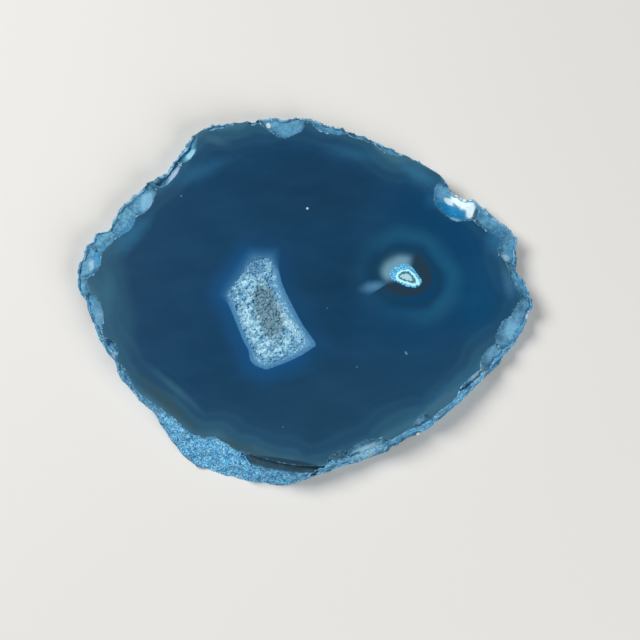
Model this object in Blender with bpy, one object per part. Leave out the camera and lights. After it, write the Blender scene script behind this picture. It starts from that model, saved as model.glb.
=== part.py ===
"""Polished agate slab: a slice sawn across a dyed agate nodule.

The slab is one stone, with a flat polished face, a flat sawn back, the nodule's rough rind
around its edge, chips broken from the rim, and a shallow pocket lined with quartz crystals.
Lengths here are in millimetres and are turned into metres by MM. The slab lies on its back:
+X is its longest way, +Z its thickness, and the origin is under the middle of its box.
"""
import math

import bmesh
import bpy
import numpy as np
from mathutils import Matrix, Vector, geometry, noise

MM = 0.001
THICKNESS = 6.5
CURVE_STEPS = 12

# The polished face's edge, clockwise from the left tip: x, y, and how far the rind reaches
# past it at the foot, measured straight out from the slab's middle.
FACE_EDGE = (
    (-54.3, 5.9, 0.7),
    (-53.2, 9.5, 0.7),
    (-52.9, 11.8, 0.6),
    (-51.3, 13.2, 0.6),
    (-50.4, 15.6, 0.7),
    (-47.6, 16.3, 0.6),
    (-46.0, 18.6, 0.6),
    (-44.3, 22.0, 0.7),
    (-41.1, 25.6, 0.7),
    (-38.0, 28.3, 0.7),
    (-35.8, 29.1, 0.6),
    (-33.2, 31.6, 0.6),
    (-30.8, 35.2, 0.8),
    (-28.2, 39.1, 0.8),
    (-25.4, 41.8, 0.8),
    (-21.1, 43.8, 0.8),
    (-17.6, 44.2, 0.8),
    (-15.2, 44.1, 0.8),
    (-12.2, 45.0, 0.8),
    (-9.2, 44.9, 0.8),
    (-6.2, 45.7, 0.8),
    (-1.5, 45.5, 0.8),
    (3.0, 44.8, 0.8),
    (11.5, 41.9, 0.8),
    (20.3, 38.1, 0.8),
    (28.3, 33.7, 0.8),
    (33.2, 30.7, 0.8),
    (35.6, 27.9, 0.7),
    (37.2, 25.7, 0.6),
    (39.6, 24.4, 0.5),
    (41.5, 24.2, 0.5),
    (44.3, 21.7, 0.7),
    (48.1, 18.1, 0.8),
    (51.4, 14.8, 0.8),
    (51.8, 12.8, 0.7),
    (51.3, 9.5, 0.7),
    (51.7, 5.6, 0.7),
    (53.4, 2.3, 0.7),
    (54.9, -0.9, 0.7),
    (55.0, -2.9, 0.6),
    (53.6, -4.7, 0.6),
    (53.2, -6.8, 0.6),
    (51.7, -9.4, 0.6),
    (49.6, -12.2, 0.6),
    (44.2, -18.3, 0.6),
    (37.2, -24.9, 0.7),
    (31.9, -29.5, 0.7),
    (28.7, -31.8, 0.7),
    (24.9, -33.5, 0.7),
    (19.5, -36.5, 0.7),
    (13.5, -38.9, 0.8),
    (8.8, -40.4, 0.8),
    (3.6, -42.3, 0.8),
    (-1.3, -43.8, 1.0),
    (-5.1, -43.1, 2.5),
    (-9.1, -41.8, 3.3),
    (-12.4, -40.9, 3.6),
    (-13.6, -39.1, 5.0),
    (-16.9, -37.4, 6.1),
    (-20.6, -35.0, 7.1),
    (-22.9, -35.3, 5.7),
    (-26.3, -34.1, 4.5),
    (-29.9, -31.0, 3.5),
    (-32.8, -28.5, 2.3),
    (-35.2, -26.9, 1.1),
    (-38.4, -24.6, 0.7),
    (-41.6, -21.4, 0.7),
    (-44.0, -17.7, 0.7),
    (-45.0, -14.9, 0.7),
    (-48.0, -11.2, 0.7),
    (-49.3, -7.9, 0.7),
    (-51.2, -3.1, 0.7),
    (-52.8, 0.9, 0.7),
    (-54.4, 3.0, 0.7),
)

# The rind from the face down to the foot: share of the thickness, share of the reach.
RIND_PROFILE = (
    (1.00, 0.00),
    (0.91, 0.18),
    (0.77, 0.38),
    (0.60, 0.58),
    (0.42, 0.76),
    (0.24, 0.91),
    (0.09, 1.00),
    (0.00, 0.97),
)
RIND_STEP = 1.3
LUMP_SIZE = 2.6
LUMP_HEIGHT = 0.7
GRAIN_SIZE = 0.9
GRAIN_HEIGHT = 0.5
# The fine grain is read this far along from the broad lumps, so that the two don't line up.
GRAIN_OFFSET = 40.0
FACE_EDGE_RAGGEDNESS = 0.2
FOOT_RAGGEDNESS = 0.5
# On a slope at least this wide, the lumps also stand up by this share of their height.
WIDE_REACH = 3.0
LUMP_LIFT = 0.5

# Scars broken from the rim: x, y of the middle, half length, half width, depth, turn in degrees.
CHIPS = (
    (-41.2, 24.6, 5.2, 5.0, 2.4, 50),
    (-45.4, 19.6, 6.0, 4.4, 2.2, 62),
    (-50.4, 14.8, 5.2, 4.6, 2.1, 42),
    (-53.8, 8.6, 6.2, 4.6, 2.2, 82),
    (-54.4, 2.0, 5.0, 3.0, 1.8, 98),
    (-33.4, 31.0, 4.6, 2.3, 2.6, 56),
    (-29.4, 37.0, 4.4, 2.6, 2.2, 60),
    (-21.0, 44.0, 5.0, 1.5, 1.4, 10),
    (-12.4, 45.1, 1.6, 1.6, 0.9, 5),
    (-4.6, 46.6, 6.0, 6.2, 2.6, -14),
    (6.4, 44.2, 6.0, 2.9, 1.8, -20),
    (14.2, 41.4, 5.6, 1.7, 1.2, -22),
    (21.4, 38.2, 4.4, 2.2, 1.3, -28),
    (38.0, 23.6, 6.6, 5.2, 3.2, -34),
    (46.8, 19.6, 6.6, 4.4, 1.8, -42),
    (52.2, 11.6, 5.6, 4.6, 1.7, -86),
    (53.2, 3.4, 5.6, 2.6, 1.4, -66),
    (54.0, -5.6, 4.4, 3.8, 2.8, 66),
    (50.8, -11.0, 5.4, 4.6, 3.2, 54),
    (46.4, -16.2, 5.4, 3.2, 2.6, 46),
    (41.0, -21.6, 5.0, 1.4, 1.4, 44),
    (29.0, -31.9, 2.3, 2.5, 2.2, 35),
    (15.4, -38.5, 5.6, 2.6, 2.0, 22),
    (8.8, -40.5, 3.2, 2.0, 1.1, 18),
    (-50.9, -5.0, 6.6, 3.0, 2.0, -70),
    (-46.3, -13.6, 2.8, 2.0, 1.5, -50),
    (-42.8, -20.2, 4.4, 1.2, 1.2, -55),
)
# Smaller scars on the rim of the sawn back, in the same order of numbers.
BACK_CHIPS = (
    (22.4, 38.2, 5.0, 2.2, 1.4, -28),
    (-19.0, 45.0, 4.0, 1.8, 1.2, 5),
    (46.0, -17.2, 4.2, 2.0, 1.5, 48),
    (52.4, 9.0, 3.8, 1.8, 1.2, -88),
    (-52.8, -2.0, 4.6, 2.0, 1.4, -70),
    (-43.4, 24.6, 4.4, 2.2, 1.5, 52),
    (24.0, -34.8, 5.0, 1.8, 1.2, 24),
)
# How far outside its face a scar's ball is centred, as a share of the scar's depth.
CHIP_LIFT = 1.6
CHIP_ROUGHNESS = 0.14
CHIP_ROUGHNESS_SIZE = 0.45

# A step along the near rim, where a sliver split off outside a circle about this middle.
LEDGE_MIDDLE = (3.9, 4.9)
LEDGE_INNER_RADIUS = 46.9
LEDGE_OUTER_RADIUS = 56.0
LEDGE_DEPTH = 0.7
LEDGE_FROM = 247.5
LEDGE_TO = 272.5
LEDGE_SEGMENTS = 12

# Mouth of the quartz pocket, in the polished face, clockwise from its upper end.
POCKET_MOUTH = (
    (-12.7, 7.9),
    (-10.8, 8.9),
    (-7.9, 8.9),
    (-7.2, 6.4),
    (-7.4, 2.8),
    (-6.4, 0.3),
    (-4.0, -4.7),
    (-2.3, -6.9),
    (-0.1, -9.1),
    (0.4, -11.1),
    (-1.0, -13.5),
    (-3.6, -15.5),
    (-6.7, -17.0),
    (-10.1, -16.5),
    (-11.7, -14.3),
    (-14.4, -8.9),
    (-16.2, -3.4),
    (-17.2, -0.9),
    (-17.2, 1.3),
    (-15.8, 3.6),
)
POCKET_MIDDLE = (-9.4, -4.0)
POCKET_DEPTH = 2.8
POCKET_FLOOR_SHARE = 0.78
POCKET_CUTTER_PROUD = 0.5

# The crystal crust: its edge and its underside are shares of the pocket's mouth.
CRUST_EDGE_SHARE = 0.93
CRUST_BASE_SHARE = 0.76
CRUST_GAP = 0.3
CRUST_EDGE_STEP = 1.3
CRYSTAL_SPACING = (0.95, 1.9)
CRYSTAL_TRIES = 2500
CRYSTAL_ROOM = 0.93
CRYSTAL_RISE = (0.5, 1.3)
CRYSTAL_LEAN = 0.25
CRUST_EDGE_DEPTH = 0.35
CRUST_MIDDLE_DEPTH = 1.75
HIGHEST_TIP = THICKNESS - 0.15
CRYSTAL_SEED = 7
# How the crust is divided into cells: only inside its edge, and points closer than this join.
INSIDE_ONLY = 1
MERGE_WITHIN = 0.000001

AGATE_BLUE = (0.018, 0.062, 0.135, 1.0)
QUARTZ_BLUE = (0.42, 0.62, 0.74, 1.0)


def clear_scene():
    for thing in list(bpy.data.objects):
        bpy.data.objects.remove(thing, do_unlink=True)


def new_collection(name):
    collection = bpy.data.collections.new(name)
    bpy.context.scene.collection.children.link(collection)
    return collection


def new_material(name, colour, roughness):
    material = bpy.data.materials.new(name)
    material.use_nodes = True
    surface = material.node_tree.nodes["Principled BSDF"]
    surface.inputs["Base Color"].default_value = colour
    surface.inputs["Roughness"].default_value = roughness
    surface.inputs["Metallic"].default_value = 0.0
    return material


def object_from_bmesh(shape, name, collection):
    """Turns a bmesh drawn in millimetres into an object in metres."""
    bmesh.ops.scale(shape, vec=(MM, MM, MM), verts=shape.verts)
    bmesh.ops.recalc_face_normals(shape, faces=shape.faces)
    if shape.calc_volume(signed=True) < 0.0:
        bmesh.ops.reverse_faces(shape, faces=shape.faces)
    mesh = bpy.data.meshes.new(name)
    shape.to_mesh(mesh)
    shape.free()
    item = bpy.data.objects.new(name, mesh)
    collection.objects.link(item)
    return item


def smooth_loop(rows, step):
    """Closed Catmull-Rom curve through the rows, read off at even steps along it."""
    rows = np.array(rows)
    before, start, end, after = (np.roll(rows, shift, axis=0) for shift in (1, 0, -1, -2))
    fine = []
    for share in np.linspace(0.0, 1.0, CURVE_STEPS, endpoint=False):
        fine.append(0.5 * (
            2 * start
            + (end - before) * share
            + (2 * before - 5 * start + 4 * end - after) * share ** 2
            + (3 * start - before - 3 * end + after) * share ** 3
        ))
    fine = np.stack(fine, axis=1).reshape(-1, rows.shape[1])
    fine = np.vstack([fine, fine[:1]])
    walked = np.concatenate([[0.0], np.cumsum(np.hypot(*np.diff(fine[:, :2], axis=0).T))])
    stops = np.linspace(0.0, walked[-1], round(walked[-1] / step), endpoint=False)
    return np.column_stack([np.interp(stops, walked, column) for column in fine.T])


def lump(x, y, z):
    """How far the rind's lumps and grains stand out at a point; below zero is a hollow."""
    broad = noise.noise(Vector((x, y, z)) / LUMP_SIZE)
    fine = noise.noise(Vector((x + GRAIN_OFFSET, y, z)) / GRAIN_SIZE)
    return LUMP_HEIGHT * broad + GRAIN_HEIGHT * fine


def rind_ring(edge, height_share, reach_share):
    """One ring of the rind: the points of the slab's outline at one height."""
    ring = []
    for x, y, reach in edge:
        outward = Vector((x, y)).normalized()
        height = THICKNESS * height_share
        rough = lump(x + outward.x * reach * reach_share, y + outward.y * reach * reach_share, height)
        slack = 1.0
        if height_share == 1.0:
            slack = FACE_EDGE_RAGGEDNESS
        elif height_share == 0.0:
            slack = FOOT_RAGGEDNESS
        else:
            height += LUMP_LIFT * rough * min(1.0, reach / WIDE_REACH)
        out = reach * reach_share + rough * slack
        ring.append(Vector((x + outward.x * out, y + outward.y * out, height)))
    return ring


def make_slab(collection):
    """The stone itself: a flat face, a flat back, and the lumpy rind between them."""
    edge = smooth_loop(FACE_EDGE, RIND_STEP)
    shape = bmesh.new()
    rings = []
    for height_share, reach_share in RIND_PROFILE:
        rings.append([shape.verts.new(point) for point in rind_ring(edge, height_share, reach_share)])
    count = len(edge)
    for upper, lower in zip(rings, rings[1:]):
        for place in range(count):
            following = (place + 1) % count
            corners = (upper[place], upper[following], lower[following], lower[place])
            shape.faces.new(corners)
    shape.faces.new(rings[0])
    shape.faces.new(rings[-1])
    return object_from_bmesh(shape, "agate_slab", collection)


def make_chip_cutter(row, height, outward, collection):
    """A rough ball that leaves one shell-shaped scar on the rim of the face at this height;
    outward is 1 for the polished face and -1 for the back."""
    x, y, half_length, half_width, depth, turn = row
    lift = CHIP_LIFT * depth
    drop = lift + depth
    spread = math.sqrt(1.0 - (lift / drop) ** 2)
    shape = bmesh.new()
    bmesh.ops.create_icosphere(shape, subdivisions=3, radius=1.0)
    for vert in shape.verts:
        spot = vert.co / CHIP_ROUGHNESS_SIZE + Vector((x, y, 0.0))
        vert.co *= 1.0 + CHIP_ROUGHNESS * noise.noise(spot)
    size = Matrix.Diagonal((half_length / spread, half_width / spread, drop, 1.0))
    turned = Matrix.Rotation(math.radians(turn), 4, "Z")
    place = Matrix.Translation((x, y, height + outward * lift))
    bmesh.ops.transform(shape, matrix=place @ turned @ size, verts=shape.verts)
    return object_from_bmesh(shape, "chip_cutter", collection)


def make_ledge_cutter(collection):
    """A curved bar that takes the step off the near rim."""
    shape = bmesh.new()
    corners = []
    for radius, turns in ((LEDGE_INNER_RADIUS, 1), (LEDGE_OUTER_RADIUS, -1)):
        angles = np.radians(np.linspace(LEDGE_FROM, LEDGE_TO, LEDGE_SEGMENTS + 1))[::turns]
        for angle in angles:
            x = LEDGE_MIDDLE[0] + radius * math.cos(angle)
            y = LEDGE_MIDDLE[1] + radius * math.sin(angle)
            corners.append(shape.verts.new((x, y, THICKNESS - LEDGE_DEPTH)))
    bottom = shape.faces.new(corners)
    top = bmesh.ops.extrude_face_region(shape, geom=[bottom])["geom"]
    raised = [item for item in top if isinstance(item, bmesh.types.BMVert)]
    bmesh.ops.translate(shape, vec=(0.0, 0.0, 2.0 * LEDGE_DEPTH), verts=raised)
    return object_from_bmesh(shape, "ledge_cutter", collection)


def pocket_outline(share, step):
    """The pocket's mouth drawn smooth, and shrunk about its middle to a share of its size."""
    middle = np.array(POCKET_MIDDLE)
    return middle + (smooth_loop(POCKET_MOUTH, step) - middle) * share


def share_at(depth):
    """How much of its mouth the pocket still measures across at a depth."""
    return 1.0 - (1.0 - POCKET_FLOOR_SHARE) * depth / POCKET_DEPTH


def make_pocket_cutter(collection):
    """A tapered plug with the pocket's outline, standing a little proud of the face."""
    shape = bmesh.new()
    for depth in (-POCKET_CUTTER_PROUD, POCKET_DEPTH):
        outline = pocket_outline(share_at(depth), CRUST_EDGE_STEP)
        shape.faces.new([shape.verts.new((x, y, THICKNESS - depth)) for x, y in outline])
    bmesh.ops.bridge_loops(shape, edges=shape.edges[:])
    return object_from_bmesh(shape, "pocket_cutter", collection)


def cut(item, cutter):
    cutter.hide_render = True
    cutter.display_type = "WIRE"
    modifier = item.modifiers.new(cutter.name, "BOOLEAN")
    modifier.operation = "DIFFERENCE"
    modifier.solver = "EXACT"
    modifier.object = cutter


def is_inside(point, outline):
    """Whether a point is inside a closed outline, by counting the sides to its right."""
    inside = False
    for (x1, y1), (x2, y2) in zip(outline, np.roll(outline, -1, axis=0)):
        if (y1 > point[1]) != (y2 > point[1]):
            if point[0] < x1 + (point[1] - y1) * (x2 - x1) / (y2 - y1):
                inside = not inside
    return inside


def crystal_seeds(edge, chance):
    """Middles of the crystals, thrown at random and kept where each has room to grow."""
    room = np.array(POCKET_MIDDLE) + (edge - POCKET_MIDDLE) * CRYSTAL_ROOM
    seeds = []
    for _ in range(CRYSTAL_TRIES):
        spot = chance.uniform(edge.min(axis=0), edge.max(axis=0))
        space = chance.uniform(*CRYSTAL_SPACING)
        if is_inside(spot, room) and all(math.dist(spot, seed) > space for seed in seeds):
            seeds.append(spot)
    return seeds


def crust_depth(x, y, reach):
    """Depth of the valleys between crystals: shallow at the pocket's edge, deep in its middle."""
    off_middle = math.dist((x, y), POCKET_MIDDLE) / reach
    bowl = max(0.0, 1.0 - off_middle ** 2)
    return CRUST_EDGE_DEPTH + (CRUST_MIDDLE_DEPTH - CRUST_EDGE_DEPTH) * bowl


def make_druse(collection):
    """Quartz crystals grown together in one crust: each is a flat-faced point, and the
    valleys between them meet where three crystals meet."""
    chance = np.random.default_rng(CRYSTAL_SEED)
    edge = pocket_outline(CRUST_EDGE_SHARE, CRUST_EDGE_STEP)
    seeds = crystal_seeds(edge, chance)
    flat = [Vector(point) for point in list(edge) + seeds]
    border = [(place, (place + 1) % len(edge)) for place in range(len(edge))]
    spots, _, cells, _, _, _ = geometry.delaunay_2d_cdt(flat, border, [], INSIDE_ONLY, MERGE_WITHIN)
    reach = max(math.dist(point, POCKET_MIDDLE) for point in edge)
    shape = bmesh.new()
    tips = []
    for place, spot in enumerate(spots):
        tip = Vector((spot.x, spot.y, THICKNESS - CRUST_EDGE_DEPTH))
        if place >= len(edge):
            rise = chance.uniform(*CRYSTAL_RISE)
            tip.z = min(HIGHEST_TIP, THICKNESS - crust_depth(spot.x, spot.y, reach) + rise)
            tip.x += chance.uniform(-CRYSTAL_LEAN, CRYSTAL_LEAN)
            tip.y += chance.uniform(-CRYSTAL_LEAN, CRYSTAL_LEAN)
        tips.append(shape.verts.new(tip))
    halfway = {}
    for cell in cells:
        middle = sum((spots[corner] for corner in cell), Vector((0.0, 0.0))) / 3.0
        depth = crust_depth(middle.x, middle.y, reach)
        valley = shape.verts.new((middle.x, middle.y, THICKNESS - depth - CRUST_GAP))
        for first, second in zip(cell, cell[1:] + cell[:1]):
            side = frozenset((first, second))
            halfway.setdefault(side, []).append((valley, first, second))
    for side, sharers in halfway.items():
        if len(sharers) == 2:
            (valley, first, second), (opposite, _, _) = sharers
            shape.faces.new((valley, tips[first], opposite))
            shape.faces.new((valley, opposite, tips[second]))
        else:
            valley, first, second = sharers[0]
            shape.faces.new((valley, tips[first], tips[second]))
    base_z = THICKNESS - POCKET_DEPTH + CRUST_GAP
    shrink = CRUST_BASE_SHARE / CRUST_EDGE_SHARE
    base = []
    for tip in tips[:len(edge)]:
        x = POCKET_MIDDLE[0] + (tip.co.x - POCKET_MIDDLE[0]) * shrink
        y = POCKET_MIDDLE[1] + (tip.co.y - POCKET_MIDDLE[1]) * shrink
        base.append(shape.verts.new((x, y, base_z)))
    for first, second in border:
        shape.faces.new((tips[first], base[first], base[second], tips[second]))
    shape.faces.new(base)
    return object_from_bmesh(shape, "quartz_druse", collection)


def move_over_origin(items):
    """The move that brings the middle of the pieces' box over the origin."""
    bpy.context.view_layer.update()
    graph = bpy.context.evaluated_depsgraph_get()
    corners = []
    for item in items:
        shown = item.evaluated_get(graph)
        corners += [shown.matrix_world @ Vector(corner) for corner in shown.bound_box]
    low = Vector(min(corner[axis] for corner in corners) for axis in range(3))
    high = Vector(max(corner[axis] for corner in corners) for axis in range(3))
    middle = (low + high) / 2
    return Vector((-middle.x, -middle.y, 0.0))


def main():
    clear_scene()
    parts = new_collection("polished_agate_slab")
    cutters = new_collection("cutters")
    slab = make_slab(parts)
    slab.data.materials.append(new_material("polished_agate", AGATE_BLUE, 0.12))
    tools = [make_chip_cutter(row, THICKNESS, 1, cutters) for row in CHIPS]
    tools += [make_chip_cutter(row, 0.0, -1, cutters) for row in BACK_CHIPS]
    tools += [make_ledge_cutter(cutters), make_pocket_cutter(cutters)]
    for tool in tools:
        cut(slab, tool)
    druse = make_druse(parts)
    druse.data.materials.append(new_material("quartz", QUARTZ_BLUE, 0.25))
    shift = move_over_origin([slab, druse])
    for item in [slab, druse] + tools:
        item.location = shift


main()
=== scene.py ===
import math

import bmesh
import bpy
import numpy as np
from mathutils import Matrix, Vector, bvhtree, geometry, kdtree


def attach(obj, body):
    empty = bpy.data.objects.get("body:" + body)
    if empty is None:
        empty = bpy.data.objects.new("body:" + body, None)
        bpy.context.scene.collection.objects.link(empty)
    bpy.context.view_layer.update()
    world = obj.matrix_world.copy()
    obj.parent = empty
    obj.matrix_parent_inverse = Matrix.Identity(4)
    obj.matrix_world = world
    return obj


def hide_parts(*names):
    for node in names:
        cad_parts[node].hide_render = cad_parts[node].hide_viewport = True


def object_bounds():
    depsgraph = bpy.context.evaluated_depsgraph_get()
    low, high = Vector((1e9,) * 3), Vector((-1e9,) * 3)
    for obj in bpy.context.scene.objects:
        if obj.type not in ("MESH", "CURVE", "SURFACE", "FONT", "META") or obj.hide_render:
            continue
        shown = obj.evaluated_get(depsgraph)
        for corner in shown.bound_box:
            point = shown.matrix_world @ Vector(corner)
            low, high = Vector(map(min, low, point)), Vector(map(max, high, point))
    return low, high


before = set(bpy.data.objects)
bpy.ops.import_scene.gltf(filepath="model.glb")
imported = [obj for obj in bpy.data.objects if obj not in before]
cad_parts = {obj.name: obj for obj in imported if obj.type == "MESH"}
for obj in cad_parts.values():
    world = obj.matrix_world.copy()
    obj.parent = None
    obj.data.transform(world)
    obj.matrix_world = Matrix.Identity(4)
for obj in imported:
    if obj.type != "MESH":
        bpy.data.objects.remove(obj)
cad_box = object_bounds()


# The view. The slab lies flat and the camera looks down on its polished face, tilted a little
# towards the near side, so that the upright wall shows under the near rim.
CAMERA_ELEVATION = math.radians(75.0)
CAMERA_DISTANCE = 0.36
CAMERA_AIM = Vector((0.00394, -0.00632, 0.003))
CAMERA_LENS = 83.7
CAMERA_CLIP = 0.01

camera_data = bpy.data.cameras.new("camera")
camera_data.lens = CAMERA_LENS
camera_data.clip_start = CAMERA_CLIP
camera = bpy.data.objects.new("camera", camera_data)
bpy.context.scene.collection.objects.link(camera)
looking_back = Vector((0.0, -math.cos(CAMERA_ELEVATION), math.sin(CAMERA_ELEVATION)))
camera.location = CAMERA_AIM + looking_back * CAMERA_DISTANCE
camera.rotation_euler = looking_back.to_track_quat("Z", "Y").to_euler()
bpy.context.scene.camera = camera


# The slab. One slice of agate, sawn on both sides and polished on the upper one. The flat faces
# are cut into a fine net, so that the bands can follow the rim; the rind and the scars are
# cut finer still, smoothed, and roughened with the stone's grain.
THICKNESS = cad_box[1][2]
MM = 0.001
# A face within FLAT of a sawn plane lies in it, and points nearer than SEAM are one point.
FLAT = 0.00001
SEAM = 0.000002
NET_STEP = 0.0009
NET_ROW = NET_STEP * math.sin(math.radians(60.0))
NET_TOLERANCE = 1e-6
RIND_CUTS = 3

slab_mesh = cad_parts["agate_slab"].data.copy()
slab_mesh.materials.clear()
slab = bpy.data.objects.new("agate", slab_mesh)
bpy.context.scene.collection.objects.link(slab)
bpy.ops.object.select_all(action="DESELECT")
slab.select_set(True)
bpy.context.view_layer.objects.active = slab
bpy.ops.object.mode_set(mode="EDIT")
bpy.ops.mesh.select_mode(type="FACE")
bpy.ops.mesh.select_all(action="SELECT")
bpy.ops.mesh.remove_doubles(threshold=SEAM)


def lies_at(face, height):
    """Whether a face lies in the sawn plane at this height."""
    return all(abs(vert.co.z - height) < FLAT for vert in face.verts)


def select_faces(mesh, wanted):
    """Selects the faces that a test wants, in the mesh being edited."""
    shape = bmesh.from_edit_mesh(mesh)
    for face in shape.faces:
        face.select = wanted(face)
    shape.select_flush_mode()
    bmesh.update_edit_mesh(mesh)


select_faces(slab_mesh, lambda face: not (lies_at(face, 0.0) or lies_at(face, THICKNESS)))
bpy.ops.mesh.subdivide(number_cuts=RIND_CUTS)


def is_inside(points, sides):
    """Which points lie inside closed sides, by counting the sides to the right of each point."""
    inside = np.zeros(len(points), bool)
    for (start_x, start_y), (end_x, end_y) in sides:
        if start_y != end_y:
            spans = (start_y > points[:, 1]) != (end_y > points[:, 1])
            meets = start_x + (points[:, 1] - start_y) * (end_x - start_x) / (end_y - start_y)
            inside ^= spans & (points[:, 0] < meets)
    return inside


def tree_of(spots):
    """A search tree that finds the nearest of some spots."""
    tree = kdtree.KDTree(len(spots))
    for number, spot in enumerate(spots):
        tree.insert(spot, number)
    tree.balance()
    return tree


def net_face(shape, height):
    """Fills one sawn face again with a net of small triangles that meets its rim point for point."""
    flat = [face for face in shape.faces if lies_at(face, height)]
    rim = [edge for edge in shape.edges
           if sum(lies_at(face, height) for face in edge.link_faces) == 1]
    bmesh.ops.delete(shape, geom=flat, context="FACES")
    rim_verts = list(dict.fromkeys(vert for edge in rim for vert in edge.verts))
    number_of = {vert: number for number, vert in enumerate(rim_verts)}
    sides = [[number_of[vert] for vert in edge.verts] for edge in rim]
    rim_tree = tree_of([vert.co for vert in rim_verts])
    points = [vert.co.xy / MM for vert in rim_verts]
    rows = np.arange(cad_box[0][1], cad_box[1][1], NET_ROW)
    for row, y in enumerate(rows):
        for x in np.arange(cad_box[0][0] + NET_STEP / 2.0 * (row % 2), cad_box[1][0], NET_STEP):
            if rim_tree.find((x, y, height))[2] > NET_STEP / 2.0:
                points.append(Vector((x, y)) / MM)
    spread, _, triangles, origins, _, _ = geometry.delaunay_2d_cdt(
        points, sides, [], 0, NET_TOLERANCE, True)
    spots = np.array(spread)
    middles = spots[np.array(triangles)].mean(axis=1)
    kept = is_inside(middles, [[vert.co.xy / MM for vert in edge.verts] for edge in rim])
    net_verts = {}
    for number, sources in enumerate(origins):
        if sources and min(sources) < len(rim_verts):
            net_verts[number] = rim_verts[min(sources)]
    for corners in np.array(triangles)[kept]:
        for corner in corners:
            if corner not in net_verts:
                net_verts[corner] = shape.verts.new((*(spread[corner] * MM), height))
        face = shape.faces.new([net_verts[corner] for corner in corners])
        face.normal_update()
        if (face.normal.z > 0.0) != (height > 0.0):
            face.normal_flip()


shape = bmesh.from_edit_mesh(slab_mesh)
net_face(shape, 0.0)
net_face(shape, THICKNESS)
bmesh.update_edit_mesh(slab_mesh)

# Four kinds of surface, in the order in which their materials are added: the two sawn faces, the
# scars of the chips, the rind, and the pocket's wall. A scar lies level or leans more than the rind.
SAWN, SCAR, RIND, POCKET = range(4)
POCKET_MIDDLE = Vector((-0.0097, -0.0046))
POCKET_REACH = 0.019
SCAR_LEVEL = 0.97
SCAR_LEAN = 0.3
LEDGE_LOWEST = 0.0055
RIND_SLOPE = (math.radians(212.0), math.radians(266.0))


def is_at_pocket(spot):
    """Whether a point belongs to the pocket, and not to the slab's outside."""
    return (spot.xy - POCKET_MIDDLE).length < POCKET_REACH


def is_on_slope(spot):
    """Whether a point lies at the lower left, where the rind slopes out."""
    return RIND_SLOPE[0] < math.atan2(spot.y, spot.x) % math.tau < RIND_SLOPE[1]


def kind_of(face):
    """Which kind of surface a face belongs to."""
    middle = face.calc_center_median()
    if lies_at(face, 0.0) or lies_at(face, THICKNESS):
        return SAWN
    if is_at_pocket(middle):
        return POCKET
    if face.normal.z > SCAR_LEVEL and middle.z > LEDGE_LOWEST:
        return SCAR
    if face.normal.z < -SCAR_LEAN or (face.normal.z > SCAR_LEAN and not is_on_slope(middle)):
        return SCAR
    return RIND


shape = bmesh.from_edit_mesh(slab_mesh)
for face in shape.faces:
    face.material_index = kind_of(face)
bmesh.update_edit_mesh(slab_mesh)

# The scars are broken smooth: their inner points are evened out, and their borders stay.
SCAR_SMOOTHING = 0.5
SCAR_ROUNDS = 3
bpy.ops.mesh.select_mode(type="VERT")
select_faces(slab_mesh, lambda face: face.material_index == SCAR)
shape = bmesh.from_edit_mesh(slab_mesh)
for vert in shape.verts:
    if any(face.material_index != SCAR for face in vert.link_faces):
        vert.select = False
shape.select_flush_mode()
bmesh.update_edit_mesh(slab_mesh)
bpy.ops.mesh.vertices_smooth(factor=SCAR_SMOOTHING, repeat=SCAR_ROUNDS)
bpy.ops.object.mode_set(mode="OBJECT")

# How far each point may sink: nothing on the sawn faces and their rims, all of it further off.
EDGE_FADE = 0.0007
on_sawn, on_rough = set(), set()
for face in slab_mesh.polygons:
    (on_sawn if face.material_index == SAWN else on_rough).update(face.vertices)
border = [slab_mesh.vertices[index].co.copy() for index in sorted(on_sawn & on_rough)]
border_tree = tree_of(border)
rough_group = slab.vertex_groups.new(name="rough")
for vert in slab_mesh.vertices:
    if vert.index not in on_sawn:
        fade = min(1.0, border_tree.find(vert.co)[2] / EDGE_FADE)
        rough_group.add([vert.index], fade, "REPLACE")

# Each kind of roughness: its texture, the size of its lumps, and how deep it sinks.
ROUGHNESS = (("facets", "VORONOI", 0.0021, 0.00042),
             ("swell", "CLOUDS", 0.0016, 0.0002),
             ("grain", "CLOUDS", 0.0006, 0.00022))
for name, kind, size, sink in ROUGHNESS:
    texture = bpy.data.textures.new(name, kind)
    texture.noise_scale = size
    displace = slab.modifiers.new(name, "DISPLACE")
    displace.texture = texture
    displace.texture_coords = "LOCAL"
    displace.vertex_group = "rough"
    displace.mid_level = 0.0
    displace.strength = -sink
    bpy.ops.object.modifier_apply(modifier=name)

# No point leaves the slab's thickness, and the rims of the sawn faces stay sharp.
SHARP_ANGLE = math.radians(32.0)
shape = bmesh.new()
shape.from_mesh(slab_mesh)
for vert in shape.verts:
    vert.co.z = min(max(vert.co.z, 0.0), THICKNESS)
for edge in shape.edges:
    edge.smooth = len({face.material_index == SAWN for face in edge.link_faces}) == 1
shape.to_mesh(slab_mesh)
shape.free()
bpy.ops.object.shade_smooth_by_angle(angle=SHARP_ANGLE)

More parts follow.
